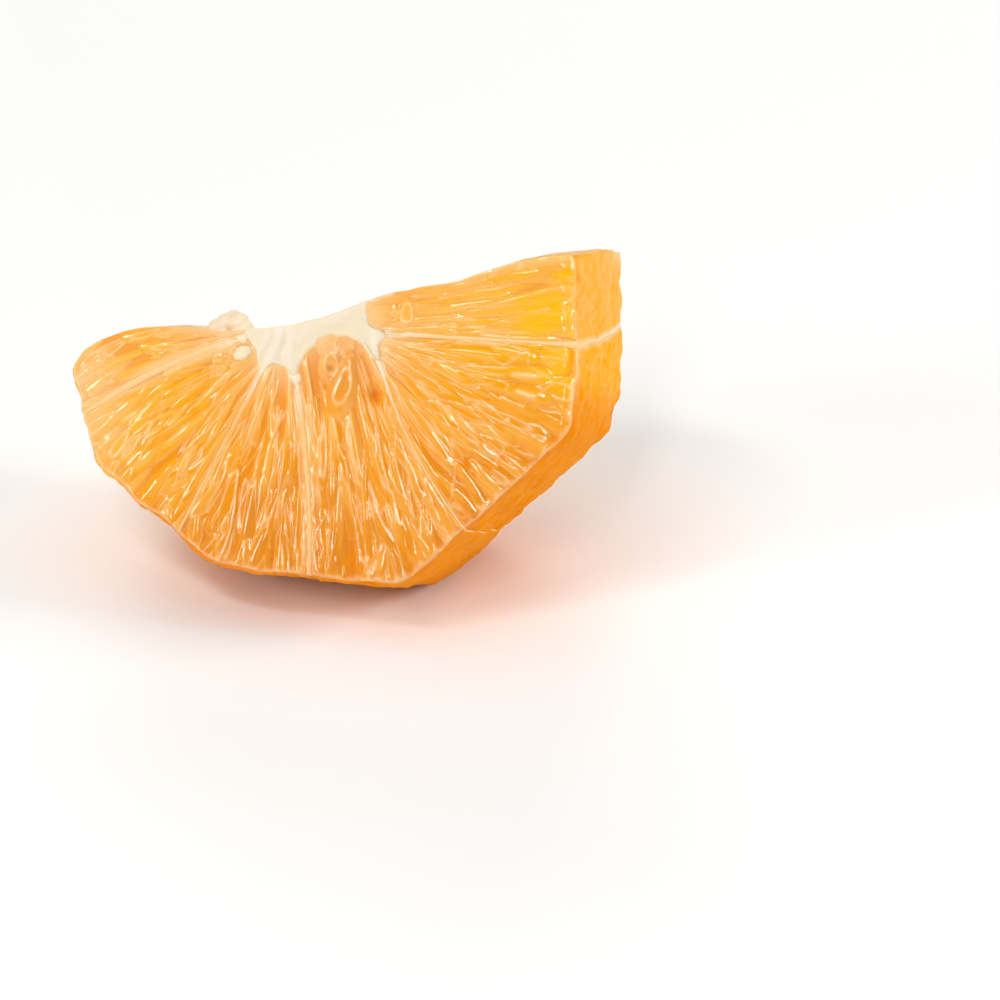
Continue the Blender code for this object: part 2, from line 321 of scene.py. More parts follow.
def drape_strands(at, strands, height, wall):
    """Lays thin skins over the sacs in long fine lines."""
    for start, end, half, bend, strong in strands:
        length = np.hypot(*(end - start))
        line = (end - start) / length
        part = (at - start) @ line / length
        across = (at - start) @ (-line[1], line[0]) - bend * np.sin(np.pi * part)
        near = np.flatnonzero((part > 0) & (part < 1) & (np.abs(across) < 3 * half))
        strand = np.sin(np.pi * part[near]) ** 0.5 * bell(across[near], half)
        height[near] += 0.5 * half * strand
        wall[near] = np.maximum(wall[near], strong * strand)


def ends_of_lines(segment, z, share, wander, middle, long, low, high):
    """The two ends of lines that run out from the core, given their middles and lengths."""
    for side in (-1, 1):
        out = np.clip(middle + side * long / (2 * CORE_TO_RIM), low, high)
        yield segment_point(segment, np.clip(share + side * wander, 0, 1), out, np.full(len(out), z))[0]


def crowds(start, end, standing, room):
    """Whether a line's middle comes too near a sac that stands out."""
    middle = (start + end) / 2
    return any(np.hypot(*(middle - (sac[0] + sac[1]) / 2)) < room * sac[2] for sac in standing)


def cut_face_sacs(segment, z, count, rng, size=1.0, standing=()):
    """Sacs of one segment that show on a cut across it, all running out from the core."""
    middle = np.clip(rng.beta(1.35, 1.0, count), 0.02, 0.98)
    long = rng.uniform(6.0, 17.0, count) * (1.1 - 0.5 * middle)
    share = rng.uniform(-0.01, 1.01, count)
    wander = rng.normal(0.0, 0.035, count)
    ends = ends_of_lines(segment, z, share, wander, middle, long, -0.03, 1.05)
    for number, (start, end) in enumerate(zip(*ends)):
        length = np.hypot(*(end - start))
        if length < 1.2 or crowds(start, end, standing, 1.0):
            continue
        half = size * rng.uniform(0.4, 1.0) * (0.4 + 1.0 * middle[number])
        half = min(half, 0.17 * length)
        whole = rng.random() > 0.35
        swell = half * rng.uniform(0.15, 0.3)
        lie = rng.normal(-0.06, 0.08)
        rise = rng.uniform(0.0, 0.4) * middle[number] ** 1.5
        left = 1.0 if whole else rng.uniform(0.3, 0.7)
        shade = np.clip(rng.normal(0.75 if whole else -0.15, 0.35), -0.4, 1.1)
        bend = rng.normal(0, 0.025) * length
        yield start, end, half, swell, lie, rise, left, bend, shade, rng.uniform(1.8, 3.2)


def pale_strands(segment, z, count, rng, standing):
    """Thin skins of emptied sacs: their ends, half their width, their bend and how pale they are."""
    middle = rng.uniform(0.1, 0.95, count)
    share = rng.uniform(0.02, 0.98, count)
    wander = rng.normal(0.0, 0.05, count)
    long = rng.uniform(3.0, 12.0, count)
    ends = ends_of_lines(segment, z, share, wander, middle, long, 0.0, 1.02)
    for start, end in zip(*ends):
        if np.hypot(*(end - start)) > 1.5 and not crowds(start, end, standing, 3.0):
            yield start, end, rng.uniform(0.07, 0.15), rng.normal(0, 0.25), rng.uniform(0.3, 1.0)


def froth(low, high, count, rng):
    """Small sacs that lie every way, crowded together."""
    for _ in range(count):
        middle, heading, long = rng.uniform(low, high), rng.uniform(0, math.pi), rng.uniform(0.6, 1.5)
        step = np.array([math.cos(heading), math.sin(heading)]) * long / 2
        left = 1.0 if rng.random() > 0.5 else 0.6
        half = long * rng.uniform(0.25, 0.4)
        lie, shade = rng.uniform(-0.06, 0.03), rng.uniform(0.2, 1)
        yield middle - step, middle + step, half, half * 0.3, lie, 0.0, left, 0.1, shade, 2.0


def skin_side_sacs(low, high, count, direction, spread, lengths, slimness, rng):
    """Sacs scattered over a flat chart, on the peeled outside or on a cut along the core."""
    for _ in range(count):
        middle = rng.uniform(low, high)
        heading = math.radians(rng.normal(direction, spread))
        long = rng.uniform(*lengths)
        step = np.array([math.cos(heading), math.sin(heading)]) * long / 2
        half = long * rng.uniform(*slimness) / 2
        left = 1.0 if rng.random() > 0.6 else rng.uniform(0.3, 0.7)
        swell = half * rng.uniform(0.2, 0.35)
        bend = rng.normal(0, 0.03) * long
        lie, rise, shade = rng.normal(-0.05, 0.05), rng.uniform(-0.05, 0.1), rng.random()
        yield middle - step, middle + step, half, swell, lie, rise, left, bend, shade, 2.2


def placed(start, end, *sizes):
    """A sac or a strand that is placed one by one."""
    return np.array(start), np.array(end), *sizes


# Sacs that stand out on the cut face, by segment.
SHOWN_SACS = {
    3: (
        placed((-0.1, -4.5), (-0.9, -8.1), 1.45, 0.35, 0.1, 0.1, 0.55, 0.0, 0.5, 2.4),
        placed((2.3, -6.3), (-1.3, -13.0), 1.9, 0.7, 0.35, 0.1, 0.6, 0.15, 0.65, 2.2),
    ),
    4: (
        placed((23.0, -12.5), (28.7, -14.7), 1.1, 0.5, 0.3, 0.3, 1.0, 0.1, 0.7, 2.4),
        placed((22.9, -14.8), (28.9, -17.5), 1.2, 0.5, 0.25, 0.3, 1.0, -0.1, 0.6, 2.4),
        placed((27.0, -15.1), (33.6, -18.5), 1.6, 0.4, 0.2, 0.2, 0.5, 0.1, 0.2, 2.4),
    ),
    5: (
        placed((6.0, -0.75), (9.7, -1.45), 1.8, 0.2, -0.05, 0.0, 1.0, 0.0, 0.9, 2.2),
        placed((12.1, -0.2), (11.1, -3.4), 1.1, 0.4, 0.2, 0.0, 0.5, 0.0, 0.45, 3.0),
    ),
}


# Pale skins that stand out on the cut face, by segment.
SHOWN_STRANDS = {
    4: (
        placed((27.4, -9.9), (26.6, -13.2), 0.1, 0.0, 0.6),
        placed((27.0, -12.6), (30.0, -15.6), 0.14, 0.1, 0.8),
        placed((29.7, -15.5), (33.2, -15.0), 0.14, -0.2, 0.6),
        placed((34.1, -11.2), (33.6, -16.4), 0.14, 0.1, 0.6),
        placed((22.0, -12.1), (27.5, -10.1), 0.14, -0.15, 0.8),
        placed((26.3, -17.3), (30.0, -15.4), 0.2, 0.1, 0.7),
        # The last two are broad pale streaks, painted highlights where the cut face shines in two long
        # glints; they also raise the relief.
        placed((24.2, -13.1), (28.6, -14.4), 0.32, 0.1, 1.3),
        placed((24.4, -15.3), (27.0, -17.0), 0.32, 0.0, 1.3),
    ),
}


def worn_edge(plan, depth, angle, to_rim):
    """Rubs round the edge between the cut face and the outside, most at the right end."""
    worn = 0.3 + 0.5 * ease_round(312, 335, angle)
    rim = np.clip(1 - to_rim / (3 * worn), 0, 1)
    face = np.clip(1 - (FACE_Z - depth) / (3 * worn), 0, 1)
    return np.c_[plan - pointing(angle) * (worn * rim * face**2)[:, None], depth - worn * rim**2 * face]


def mound(at, x, y, across, up, power=2):
    """A soft rise from 0 to 1 over one place, flatter on top where the power is higher."""
    return np.exp(-(((at[:, 0] - x) / across) ** power) - ((at[:, 1] - y) / up) ** power)


# Hollows in the cut face: where, how broad, how tall and how deep. The first is the sunken pulp by the core.
PITS = (
    (1.5, -8.0, 4.5, 4.0, 0.5),
    (4.8, -12.0, 0.8, 1.1, 1.1),
    (-10.4, -21.6, 2.0, 1.2, 0.5),
    (-0.7, -7.0, 0.45, 0.6, 0.6),
)
# Smooth places full of clear juice, where the knife passed through broad sacs, with half their two sizes.
FLATS = ((30.6, -5.9, 4.3, 2.6), (34.4, -1.5, 1.7, 0.9), (31.2, -12.9, 2.3, 2.3))
# Parts of the cut face whose sacs are paler, or less pale, than the rest.
PALER = (
    (-33.0, -2.0, 9.0, 9.0, 0.4),
    (16.0, -1.5, 12.0, 3.0, 0.45),
    (-27.0, 0.0, 10.0, 4.0, 0.5),
    (26.0, -16.0, 10.0, 7.0, -0.35),
    (14.0, -14.0, 9.0, 9.0, -0.15),
    (-9.0, -25.0, 10.0, 5.0, -0.15),
    (-21.0, -19.0, 8.0, 6.0, -0.25),
)
# How far each membrane's pale veil spreads over the pulp beside it, and how strong it is.
VEILS = {1: (1.0, 0.8), 2: (0.5, 0.5), 3: (0.8, 0.5), 4: (0.4, 0.35), 5: (0.35, 0.5)}
# Patches of small tangled sacs: their corners and their number.
FROTH = {
    0: ((-37.0, -2.0), (-31.0, 3.0), 40),
    1: ((-17.5, -4.5), (-13.0, -1.5), 26),
    3: ((-2.0, -5.5), (7.0, -1.0), 60),
}
# How strong the veil is beside the core, by segment.
CORE_VEILS = (1.2, 0.7, 0.7, 0.55, 0.7, 0.6)
# Columns across the back of each segment, how many the front has for each of them, and rows and slices.
COLUMN_STEPS = (24, 61, 52, 57, 74, 32)
FRONT_COLUMNS, ROWS, SLICES = 4, 150, 90
pulp_meshes = []
for segment, columns in enumerate(COLUMN_STEPS):
    rng = np.random.default_rng(40 + segment)
    shows = {0: (0.0,), 5: (1.0,)}.get(segment, ())
    box = cut_box(columns, ROWS, SLICES, FRONT_COLUMNS, shows)
    mesh, unit = grid_of(box, f"pulp_{segment + 1}", (columns * FRONT_COLUMNS, ROWS, SLICES))
    share, row, slice_ = unit.T
    out = 1 - (1 - row) ** 1.15
    depth = depth_at(slice_)
    plan, angle = segment_point(segment, share, out, depth)
    in_front, behind, outside, on_top = slice_ == 0, slice_ == 1, row == 1, np.isin(share, shows)

    # How far each point is from the outside and from the skins beside it, and how much pulp a cut shows.
    to_rim = (1 - out) * CORE_TO_RIM
    inner_width = np.linalg.norm(ROOTS[segment + 1] - ROOTS[segment])
    sweep = border_ends(np.array([0.0]))[:, 0]
    outer_width = (sweep[segment + 1] - sweep[segment]) * USUAL_RADIUS
    width = inner_width * (1 - out) + outer_width * out
    near_start, near_end = share * width, (1 - share) * width
    to_skin = np.minimum(share + 9 * (segment == 0), 1 - share + 9 * (segment == 5)) * width
    area = PULP_LENGTH * (inner_width + outer_width) / 2

    # The sacs that each side shows, as heights and as values for the material.
    values = {name: np.zeros(len(unit)) for name in ("wall", "crease_shade", "tint")}
    values["flow"] = np.zeros((len(unit), 3))
    heights = {}
    flats = sum(mound(plan, *flat, 4) for flat in FLATS)
    sides = (
        ("outside", outside & ~in_front & ~behind, np.stack([angle * CHART_RADIUS, depth], 1)),
        ("top", on_top & ~outside & ~in_front & ~behind, np.stack([plan[:, 0], depth], 1)),
        ("behind", behind, plan),
        ("front", in_front, plan),
    )
    for side, there, chart in sides:
        if not there.any():
            continue
        low, high = chart[there].min(0), chart[there].max(0)
        room = (high - low).prod()
        if side == "outside":
            sacs = skin_side_sacs(low, high, int(room * 1.2), 5, 30, (1.5, 3.6), (0.4, 0.8), rng)
        elif side == "top":
            sacs = skin_side_sacs(low, high, int(room * 0.7), 0, 7, (5, 12), (0.1, 0.2), rng)
        elif side == "behind":
            sacs = cut_face_sacs(segment, BACK_Z, int(area * 0.5), rng, 1.3)
        else:
            standing = SHOWN_SACS.get(segment, ())
            sacs = [*cut_face_sacs(segment, FACE_Z, int(area * 0.22), rng, 1.0, standing), *standing]
            if segment in FROTH:
                sacs += froth(*FROTH[segment], rng)
        relief, shown = lay_sacs(chart[there], sacs, -0.2)
        if side == "front":
            strands = pale_strands(segment, FACE_Z, int(area * 0.07), rng, standing)
            drape_strands(plan[there], [*strands, *SHOWN_STRANDS.get(segment, ())], relief, shown["wall"])
            relief *= 1 - 0.9 * flats[there] * ease(1.0, 3.0, to_rim[there])
            shown["wall"] *= 1 - flats[there]
            shown["crease_shade"] *= 1 - flats[there]
            shown["tint"] -= 1.6 * flats[there]
        heights[side] = np.zeros(len(unit))
        fade = ease(0.0, 0.5, FACE_Z - depth[there] if side == "outside" else to_rim[there])
        fade = ease(0.0, 0.4, to_skin[there]) * ease(-0.01, 0.08, out[there]) * fade
        heights[side][there] = relief * fade - 0.06
        for name, found in shown.items():
            values[name][there] = found

    # The relief moves the points, the edge between cut face and outside is worn, and the pits sink in.
    points = worn_edge(plan + pointing(angle) * heights["outside"][:, None], depth, angle, to_rim)
    points[:, 1] += heights.get("top", 0.0)
    if segment == 0:
        points[:, 1] -= 1.2 * ease(0.9, 1.0, out) * ease(0.5, 0.0, share)
    points[:, 2] += heights["front"] - heights["behind"]
    pits = [sunk * mound(plan, *pit) for *pit, sunk in PITS]
    points[:, 2] -= sum(pits) * in_front
    lay_down(mesh, points)

    # Painted shade: the pulp is darker in the pits, low between the sacs, and on the outside where it turns
    # under.
    under = ease_round(338, 326, angle) * ease_round(200, 215, angle)
    pitted = ease(0.3, 0.8, sum(pits[1:])) * in_front
    values["deep"] = np.maximum(ease(-0.05, -0.4, sum(heights.values())), pitted)
    values["deep"] = np.maximum(values["deep"], under * outside * 1.2)
    values["crease_shade"] *= ease(0.0, 0.1, out)
    # The underside in painted shade keeps few of its pale skins.
    values["wall"] *= 1 - 0.7 * under * outside
    values["paler"] = sum(more * mound(plan, *patch) for *patch, more in PALER) * in_front - 0.35 * outside
    values["paler"] += 0.5 * on_top * ~outside
    values["dry"] = 1.0 * on_top * ~in_front
    values["peeled"] = 1.0 * outside

    # The pale veil of thin skins: by the core, beside the membranes, on the top edge and along the rim, and a
    # painted light.
    veil = CORE_VEILS[segment] * np.exp(-out * (5.5 if segment == 0 else 10.0))
    for skin, distance in ((segment, near_start), (segment + 1, near_end)):
        if skin in VEILS:
            broad, strong = VEILS[skin]
            veil = np.maximum(veil, strong * bell(distance, broad) * (1 - 0.6 * out) * in_front)
    if segment == 5:
        to_top = top_height(plan[:, 0], depth) - plan[:, 1]
        tail = 0.9 * bell(to_top, 0.45) * ease(11.0, 9.5, plan[:, 0])
        edge_veil = 0.35 * bell(to_top, 1.0) * ease(14.0, 22.0, plan[:, 0])
        veil = np.maximum(veil, np.maximum(tail, edge_veil) * in_front)
        band = 0.09 + 0.4 * np.exp(-((near_end / 3.0) ** 2) - ((depth + 12.0) / 9.0) ** 2)
        veil = np.maximum(veil, band * outside)
    if segment in (4, 5):
        beside = near_start if segment == 5 else near_end
        veil = np.maximum(veil, 0.8 * bell(beside, 0.5) * outside)
    # lit is a pool of painted light at the left end of the cut face, over a little more paleness on the two
    # end segments.
    lit = 0.4 * mound(plan, -36.0, -6.0, 5.0, 9.0) + 0.1 * (segment in (0, 5))
    wavy = 0.25 * np.sin(angle * 75) + 0.15 * np.sin(angle * 171 + 1) + 0.2
    rim = bell(to_rim - wavy, 0.5) * in_front + bell(FACE_Z - depth, 0.6) * outside
    # The pale rim is mostly left off the underside, which stays in painted shade.
    rim *= (0.4 - 0.15 * (segment == 5)) * (1 - 0.85 * under * outside)
    values["veil"] = np.maximum(veil, np.maximum(lit * in_front, rim)) * (1 - flats * in_front)

    # Where the pulp of the cut face is warmer and redder, with painted shade low down, and where it is clear
    # and yellow.
    # low is painted shade that darkens the cut face towards its lower rim.
    low = 0.9 * ease(-13.0, -31.0, plan[:, 1]) + 1.0 * mound(plan, -12.0, -27.0, 9.0, 8.0)
    values["redder_and_shaded"] = (0.8 * mound(plan, 2.0, -8.5, 5.5, 5.0) + low) * in_front
    sunny = 1.2 * mound(plan, 27.0, -5.0, 15.0, 9.0) + 1.1 * mound(plan, -31.0, -3.0, 12.0, 11.0)
    sunny += 0.6 * mound(plan, 33.0, -15.0, 5.0, 6.0) + 0.3 * mound(plan, -20.0, -22.0, 8.0, 6.0)
    values["sunny"] = np.maximum(sunny, flats) * in_front
    for name, found in values.items():
        keep_values(mesh, name, found)
    pulp_meshes.append(mesh)


class Socket:
    """A shader value that can be written into sums."""

    def __init__(self, tree, socket):
        self.tree, self.socket = tree, socket

    def work(self, operation, *terms):
        return node(self.tree, "ShaderNodeMath", {"operation": operation}, dict(enumerate(terms)))

    def __add__(self, other):
        return self.work("ADD", self, other)

    def __sub__(self, other):
        return self.work("SUBTRACT", self, other)

    def __rsub__(self, other):
        return self.work("SUBTRACT", other, self)

    def __mul__(self, other):
        return self.work("MULTIPLY", self, other)

    __radd__ = __add__
    __rmul__ = __mul__


def node(tree, kind, settings, inputs, output=0):
    """Adds a node, sets it up, fills its sockets, and gives one of its outputs."""
    made = tree.nodes.new(kind)
    for name, setting in settings.items():
        setattr(made, name, setting)
    for name, value in inputs.items():
        if isinstance(value, Socket):
            tree.links.new(value.socket, made.inputs[name])
        else:
            made.inputs[name].default_value = value
    return Socket(tree, made.outputs[output])


def mixed(tree, share, first, second):
    """A colour part of the way from the first to the second."""
    first, second = ((*colour, 1.0) if isinstance(colour, tuple) else colour for colour in (first, second))
    settings = {"data_type": "RGBA", "clamp_factor": True}
    return node(tree, "ShaderNodeMix", settings, {0: share, 6: first, 7: second}, 2)


def kept(tree, name, output=2):
    """A value that the mesh keeps, or with output 1 its three values."""
    return node(tree, "ShaderNodeAttribute", {"attribute_name": name}, {}, output)


def speckle(tree, scale, detail):
    """Noise in the piece's own coordinates."""
    place = node(tree, "ShaderNodeTexCoord", {}, {}, 3)
    return node(tree, "ShaderNodeTexNoise", {}, {"Vector": place, "Scale": scale, "Detail": detail})


def streaks(tree, stretch, detail):
    """Noise drawn out along the sacs or the skins."""
    flow = kept(tree, "flow", 1)
    along = node(tree, "ShaderNodeVectorMath", {"operation": "MULTIPLY"}, {0: flow, 1: stretch})
    return node(tree, "ShaderNodeTexNoise", {}, {"Vector": along, "Scale": 1.0, "Detail": detail})


def new_material(name, constants):
    """A material with its shader's constants set."""
    made = bpy.data.materials.new(name)
    made.use_nodes = True
    shader = made.node_tree.nodes["Principled BSDF"]
    for socket, value in constants.items():
        shader.inputs[socket].default_value = value
    return made, made.node_tree, shader


def feed(shader, varying):
    """Links values that change over the surface to the shader's sockets."""
    for name, value in varying.items():
        value.tree.links.new(value.socket, shader.inputs[name])


def bumpy(tree, strength, height):
    """Relief too fine for the mesh."""
    return node(tree, "ShaderNodeBump", {}, {"Strength": strength, "Distance": 0.0001, "Height": height})


def milky(weight, radius, scale):
    """Constants that let light a little way into a material."""
    return {"Subsurface Weight": weight, "Subsurface Radius": radius, "Subsurface Scale": scale}


def juicy(name, constants, pale, amber, rough, wet, grain, walls):
    """Pulp: paler and amber sacs, the pale skins between them, painted shade and painted light, and a film of
    juice where it is wet.
    """
    made, tree, shader = new_material(name, constants)
    wall, crease_shade, tint, deep, dry = (kept(tree, name) for name in ("wall", "crease_shade", "tint", "deep", "dry"))
    veil, redder_and_shaded, sunny, paler = (kept(tree, name) for name in ("veil", "redder_and_shaded", "sunny", "paler"))
    fibres = streaks(tree, (0.16, 2.6, 1.0), 1.5)
    patches = speckle(tree, 160.0, 2.0)
    shade = tint + paler + (patches - 0.55) * 0.8
    colour = mixed(tree, shade, amber, pale)
    colour = mixed(tree, sunny * (0.85 - shade * 0.4), colour, (1.0, 0.51, 0.0))
    # Redder pulp near the core, and painted shade towards the lower rim.
    colour = mixed(tree, redder_and_shaded * (0.9 - shade * 0.35), colour, (0.76, 0.26, 0.02))
    colour = mixed(tree, (fibres - 0.54) * (shade * 1.8 + 0.1), colour, (1.0, 0.59, 0.16))
    # Painted shade: the creases between the sacs are darkened to amber.
    colour = mixed(tree, crease_shade * 0.6, colour, amber)
    # Painted shade in the pits, low between the sacs and on the underside.
    colour = mixed(tree, deep * 0.8, colour, (0.85, 0.25, 0.0))
    colour = mixed(tree, wall * walls, colour, (1.0, 0.68, 0.34))
    # The veil: pale skins, and at the left end a painted pool of light.
    colour = mixed(tree, veil * (patches * 1.4 + 0.3), colour, (0.98, 0.69, 0.40))
    relief = bumpy(tree, grain, fibres + speckle(tree, 900.0, 0.0) * 0.5)
    feed(shader, {"Base Color": colour, "Roughness": patches * 0.06 + rough + dry * 0.3, "Normal": relief})
    if wet:
        feed(shader, {"Coat Weight": wet * (1 - dry * 0.75)})
    return made


pulp_depth = {**milky(0.5, (1.0, 0.8, 0.5), 0.00027), "Specular IOR Level": 0.3}
wet_pulp = juicy(
    "wet_pulp",
    {**pulp_depth, "Coat Roughness": 0.05, "Coat IOR": 1.4},
    pale=(0.985, 0.50, 0.095),
    amber=(0.92, 0.355, 0.0),
    rough=0.04,
    wet=0.6,
    grain=0.32,
    walls=0.55,
)
peeled_pulp = juicy(
    "peeled_pulp",
    {**pulp_depth, "IOR": 1.1},
    pale=(0.985, 0.475, 0.05),
    amber=(0.97, 0.38, 0.0),
    rough=0.5,
    wet=0.0,
    grain=0.4,
    walls=0.3,
)

# Faces that lie wholly on the outside are peeled pulp, and the rest is cut and wet.
for number, mesh in enumerate(pulp_meshes, 1):
    piece = put_in_scene(f"pulp_{number}", mesh, wet_pulp)
    mesh.materials.append(peeled_pulp)
    peeled = np.empty(len(mesh.vertices), np.float32)
    mesh.attributes["peeled"].data.foreach_get("value", peeled)
    corners = np.empty(len(mesh.loops), np.int32)
    mesh.loops.foreach_get("vertex_index", corners)
    starts = np.empty(len(mesh.polygons), np.int32)
    mesh.polygons.foreach_get("loop_start", starts)
    mesh.polygons.foreach_set("material_index", np.minimum.reduceat(peeled[corners], starts).astype(np.int32))
    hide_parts(f"segment_{number}")
    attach(piece, "root")

# ---- Membranes ----
# The thin skins between neighbouring segments, white where they leave the core and clear further out. The
# knife left their edges level with the pulp or a little proud of it, so they show as pale lines.

# How far each one laps over the pulp, and how pale it stays away from the core.
LAPS = (0.7, 0.22, 0.36, 0.18, 0.26)
PALENESS = (0.9, 0.5, 0.6, 0.9, 1.0)
SKIN_GRID = (4, 200, 60)
ragged = np.random.default_rng(11)
membrane_pieces = []
for line in range(1, 6):
    mesh, unit = grid_of(cut_box(*SKIN_GRID, 1, (0.0, 1.0)), f"membrane_{line}", SKIN_GRID)
    side, row, slice_ = unit.T
    out = row * 1.1 - 0.1
    depth = depth_at(slice_)
    first, angle = segment_point(line - 1, np.ones(len(unit)), out, depth)
    second, _ = segment_point(line, np.zeros(len(unit)), out, depth)
    shown = LAPS[line - 1] * (1 - 0.2 * out) + 0.65 * np.exp(-np.maximum(out + 0.05, 0) * 9)
    shown += (line == 5) * (0.35 * ease(0.8, 1.0, out) + 0.35 * np.exp(-np.maximum(out, 0) * 12))
    by_cuts = np.maximum(ease(1.5, 0.3, FACE_Z - depth), ease(1.5, 0.3, depth - BACK_Z))
    shown *= np.maximum(by_cuts, ease(0.93, 1.0, out))
    half = 0.5 + shown / (HALF_SKINS[line] * 2)
    flank = 0.45 * (HALF_SKINS[line] + shown)
    plan = (first + second) / 2 + (second - first) * (side * 2 - 1)[:, None] * half[:, None]
    wobble = sum(np.sin(row * ragged.uniform(20, 90) + ragged.uniform(0, 6)) * 0.03 for _ in range(5))
    crown = 1 - (side * 2 - 1) ** 2
    proud = 0.06 * crown + wobble - flank * (1 - crown) ** 2 - 0.02 - 0.12 * ease(0.12, 0.0, out)
    outwards = (row == 1) * (0.1 * crown - (0.12 if line > 3 else 0.25))
    plan = plan + pointing(angle) * outwards[:, None]
    if line in (1, 5):
        plan[:, 1] = np.minimum(plan[:, 1], top_height(plan[:, 0], depth) - 0.1)
    points = worn_edge(plan, depth, angle, (1 - out) * CORE_TO_RIM)
    dip = PITS[0][4] * mound(plan, *PITS[0][:4])
    points[:, 2] += (slice_ == 0) * (proud - dip) - (slice_ == 1) * proud
    lay_down(mesh, points)
    keep_values(mesh, "from_core", np.maximum(out, 0.0))
    keep_values(mesh, "pale", np.full(len(unit), PALENESS[line - 1]))
    keep_values(mesh, "flank", (1 - crown) ** 2)
    keep_values(mesh, "flow", np.stack([out * PULP_LENGTH, side, np.full(len(unit), line * 5.0)], 1))
    membrane_pieces.append(mesh)

damp = {"Specular IOR Level": 0.25, "Coat Weight": 0.4, "Coat Roughness": 0.15, "Coat IOR": 1.3}
clear_skin, tree, shader = new_material("clear_skin", {**milky(0.4, (1.0, 0.8, 0.5), 0.0003), **damp})
mottle = streaks(tree, (1.2, 3.0, 1.0), 3.0)
away = kept(tree, "from_core") * 4.5 + (mottle - 0.5) * 0.8
clear = mixed(tree, kept(tree, "pale"), (0.98, 0.46, 0.12), (1.0, 0.62, 0.29))
colour = mixed(tree, away, (0.93, 0.78, 0.60), clear)
colour = mixed(tree, (mottle - 0.5) * 1.5, colour, (1.0, 0.46, 0.09))
colour = mixed(tree, kept(tree, "flank"), colour, (0.97, 0.43, 0.06))
feed(shader, {"Base Color": colour, "Roughness": 0.3 + mottle * 0.2})
for line, mesh in enumerate(membrane_pieces, 1):
    piece = put_in_scene(f"membrane_{line}", mesh, clear_skin)
    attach(piece, "root")

# ---- Core ----
# The white pith at the middle of the orange, a dry spongy cord that the segments join. The cut shows it with
# soft folds on the left and a bridge to the right, and its arched edges lap over the pulp.

CORE_GRID = (220, 50, 70)
mesh, unit = grid_of(cut_box(*CORE_GRID, 1, (0.0, 1.0)), "core", CORE_GRID)
run, row, slice_ = unit.T
lengths = np.linalg.norm(np.diff(ROOTS, axis=0), axis=1)
stops = np.concatenate([[0], np.cumsum(lengths)]) / lengths.sum()
edge, outward = np.zeros((len(unit), 2)), np.zeros((len(unit), 2))
for segment in range(6):
    there = (run >= stops[segment]) & (run <= stops[segment + 1])
    share = (run[there] - stops[segment]) / (stops[segment + 1] - stops[segment])
    edge[there] = inner_edge(segment, share)
    step = inner_edge(segment, np.minimum(share + 0.03, 1)) - inner_edge(segment, np.maximum(share - 0.03, 0))
    outward[there] = np.stack([step[:, 1], -step[:, 0]], 1) / np.linalg.norm(step, axis=1)[:, None]
across_core = np.interp(run, stops, (CORE_LEFT, -11.0, -9.9, -5.6, 4.0, 4.6, CORE_RIGHT))
ceiling = np.stack([across_core, 0.12 + 0.0115 * (across_core + 3.2) ** 2], 1)
lapping = 0.45 + 0.12 * np.sin(run * 47) + 0.08 * np.sin(run * 101 + 1)
to_edge = (1 - row) * np.maximum(np.linalg.norm(edge - ceiling, axis=1), 0.3)
depth = depth_at(slice_)
ceiling[:, 1] -= 0.7 * bell(across_core + 11.2, 5) * ease(FACE_Z - 2, FACE_Z - 12, depth)
plan = ceiling + (edge - ceiling) * np.stack([row**2, row], 1)
plan += outward * (lapping * ease(1.2, 0.0, to_edge))[:, None]
x, y = plan.T
# Each fold: its middle, heading in degrees, half-length, half-width and height.
FOLDS = (
    (-9.5, -1.9, 58, 2.4, 0.7, 0.3),
    (-7.7, -2.6, 64, 3.4, 0.85, 0.42),
    (-5.5, -2.6, 80, 3.2, 0.9, 0.36),
    (-3.5, -1.6, 50, 2.2, 0.8, 0.25),
    (0.5, -0.6, 12, 5.0, 0.9, 0.2),
    (6.6, -4.6, 100, 3.0, 0.7, 0.25),
)
folds = np.zeros(len(unit))
for fold_x, fold_y, heading, half_length, half_width, height in FOLDS:
    cos, sin = math.cos(math.radians(heading)), math.sin(math.radians(heading))
    along = (x - fold_x) * cos + (y - fold_y) * sin
    across = -(x - fold_x) * sin + (y - fold_y) * cos + 0.25 * np.sin(along * 1.3)
    ridge = height * np.exp(-((across / half_width) ** 2) - (along / half_length) ** 4)
    folds = np.maximum(folds, ridge)
flat = np.stack([x, y, depth], 1)
uneven = ripples(flat, 3.0, 1) * 0.03 + ripples(flat, 0.9, 2) * 0.008
front_edge = plan[(row == 1) & (slice_ == 0)]
lap = 1.0 * (row < 1)
lap[slice_ == 0] = [ease(0.0, 0.4, np.hypot(*(front_edge - at).T).min()) for at in plan[slice_ == 0]]
points = flat.copy()
points[:, 2] += (slice_ == 0) * ((folds + 0.03 + uneven) * lap - 0.14 * (1 - lap)) - (slice_ == 1) * uneven
points[:, 1] += (row == 0) * (uneven + 0.1 * np.sin(depth * 0.9))
lay_down(mesh, points)
# The hollows between the folds are marked for painted shade.
keep_values(mesh, "fold_shade", ease(0.3, 0.0, folds) * (slice_ == 0))
keep_values(mesh, "lap", 1 - lap)

spongy = {**milky(0.3, (1.0, 0.85, 0.65), 0.0003), "Coat Weight": 0.12}
pith_white, tree, shader = new_material("pith_white", spongy)
sponge = speckle(tree, 1500.0, 3.0)
colour = mixed(tree, (speckle(tree, 260.0, 2.0) - 0.35) * 1.4, (0.85, 0.735, 0.57), (0.89, 0.79, 0.67))
